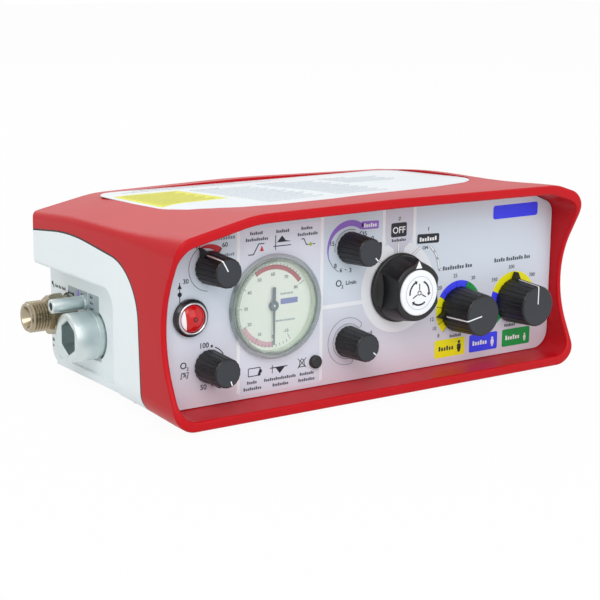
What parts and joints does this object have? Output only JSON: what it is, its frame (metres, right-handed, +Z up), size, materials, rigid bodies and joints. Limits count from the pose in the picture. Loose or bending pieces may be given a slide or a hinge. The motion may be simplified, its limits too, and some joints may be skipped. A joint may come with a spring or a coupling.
{
  "type": "mechanical ventilator",
  "caption": "Portable gas-powered ventilator: hooded control panel with knobs and a pressure gauge, and a side bay with gas and breathing connectors.",
  "frame": {"origin": "bottom centre of the box around the whole part", "axes": "+X to the right seen from the front, +Y from the control panel to the back, +Z up"},
  "size_m": [0.232, 0.1334, 0.0895],
  "materials": {
    "cover": "satin moulded red",
    "case": "fine satin moulded pale grey white",
    "seal": "matt black elastomer",
    "screw": "zinc plated steel",
    "label": "printed film",
    "panel_metal": "milled plate",
    "overlay": "printed polyester film",
    "knob": "satin black moulding",
    "knob_cap": "printed white cap",
    "steel": "turned stainless steel",
    "valve": "machined and anodised",
    "gauge_body": "black moulding",
    "bezel": "polished ring",
    "lens": "clear cover",
    "dial": "luminous pale green dial",
    "pointer": "grey painted needle",
    "indicator_black": "black ring with bright inner edge",
    "indicator_red": "red ball",
    "button": "matt black",
    "inlet_brass": "pale plated brass",
    "port_metal": "satin anodised",
    "board": "solder resist on laminate",
    "lamp": "clear light pipe",
    "battery": "sleeved cell",
    "pipe": "blue nylon tube"
  },
  "bodies": {
    "root": {"alarm_battery": "battery", "alarm_board": "board", "alarm_pressure_valve": "valve", "alarm_sounder": "knob", "battery_contact": "steel", "board_spacers": "steel", "case_screws": "screw", "case_seal": "seal", "flow_outlet_spigot": "port_metal", "flow_valve": "valve", "front_panel": "panel_metal", "gas_inlet_fitting": "inlet_brass", "gauge_bezel": "bezel", "gauge_capsule": "gauge_body", "gauge_case": "gauge_body", "gauge_dial": "dial", "gauge_lens": "lens", "indicator_lens": "lens", "indicator_ring": "indicator_black", "inlet_filter": "steel", "lower_case": "case", "manifold_block": "valve", "mode_valve": "valve", "oxygen_mix_valve": "valve", "panel_overlay": "overlay", "panel_screws": "screw", "patient_outlet_port": "port_metal", "peep_valve": "valve", "rate_valve": "valve", "regulator_body": "valve", "rubber_feet": "seal", "silence_snap_dome": "steel", "silence_switch": "knob", "spindle_nuts": "screw", "status_lamps": "lamp", "supply_pipes": "pipe", "top_cover": "cover", "top_label": "label", "volume_valve": "valve"},
    "alarm_pressure_control": {"alarm_pressure_knob": "knob", "alarm_pressure_spindle": "steel"},
    "oxygen_mix_control": {"oxygen_mix_knob": "knob", "oxygen_mix_spindle": "steel"},
    "flow_control": {"flow_knob": "knob", "flow_spindle": "steel"},
    "peep_control": {"peep_knob": "knob", "peep_spindle": "steel"},
    "mode_control": {"mode_knob": "knob", "mode_spindle": "steel", "mode_knob_cap": "knob_cap"},
    "rate_control": {"rate_knob": "knob", "rate_spindle": "steel"},
    "volume_control": {"volume_knob": "knob", "volume_spindle": "steel"},
    "gauge_needle": {"gauge_pointer": "pointer"},
    "indicator_ball": {"indicator_rotor": "indicator_red"},
    "silence_push": {"silence_button": "button"},
    "battery_lid": {"battery_cap": "case"}
  },
  "joints": [
    {"name": "alarm_pressure_turn", "type": "hinge", "parent": "root", "child": "alarm_pressure_control", "pos_m": [-0.0782, -0.05525, 0.0655], "axis": [0, 1, 0], "range_deg": [-105, 165]},
    {"name": "oxygen_mix_turn", "type": "hinge", "parent": "root", "child": "oxygen_mix_control", "pos_m": [-0.0787, -0.05525, 0.0239], "axis": [0, 1, 0], "range_deg": [-140, 0]},
    {"name": "flow_turn", "type": "hinge", "parent": "root", "child": "flow_control", "pos_m": [-0.0068, -0.05525, 0.067], "axis": [0, 1, 0], "range_deg": [-75, 250]},
    {"name": "peep_turn", "type": "hinge", "parent": "root", "child": "peep_control", "pos_m": [-0.0072, -0.05525, 0.025], "axis": [0, 1, 0], "range_deg": [0, 260]},
    {"name": "mode_turn", "type": "hinge", "parent": "root", "child": "mode_control", "pos_m": [0.0204, -0.05525, 0.0464], "axis": [0, 1, 0], "range_deg": [0, 70]},
    {"name": "rate_turn", "type": "hinge", "parent": "root", "child": "rate_control", "pos_m": [0.0565, -0.05525, 0.0321], "axis": [0, 1, 0], "range_deg": [-35, 235]},
    {"name": "volume_turn", "type": "hinge", "parent": "root", "child": "volume_control", "pos_m": [0.09, -0.05525, 0.0325], "axis": [0, 1, 0], "range_deg": [-135, 135]},
    {"name": "gauge_swing", "type": "hinge", "parent": "root", "child": "gauge_needle", "pos_m": [-0.0462, -0.04825, 0.0456], "axis": [0, 1, 0], "range_deg": [-30, 240]},
    {"name": "indicator_turn", "type": "hinge", "parent": "root", "child": "indicator_ball", "pos_m": [-0.0878, -0.04495, 0.0456], "axis": [0, 0, 1], "range_deg": [0, 90]},
    {"name": "silence_press", "type": "slide", "parent": "root", "child": "silence_push", "axis": [0, 1, 0], "range_m": [0, 0.0008], "stiffness_N_per_m": 400, "springref_m": -0.0005},
    {"name": "battery_cap_turn", "type": "hinge", "parent": "root", "child": "battery_lid", "pos_m": [0.084, 0.06475, 0.0375], "axis": [0, 1, 0], "range_deg": [0, 90]}
  ]
}
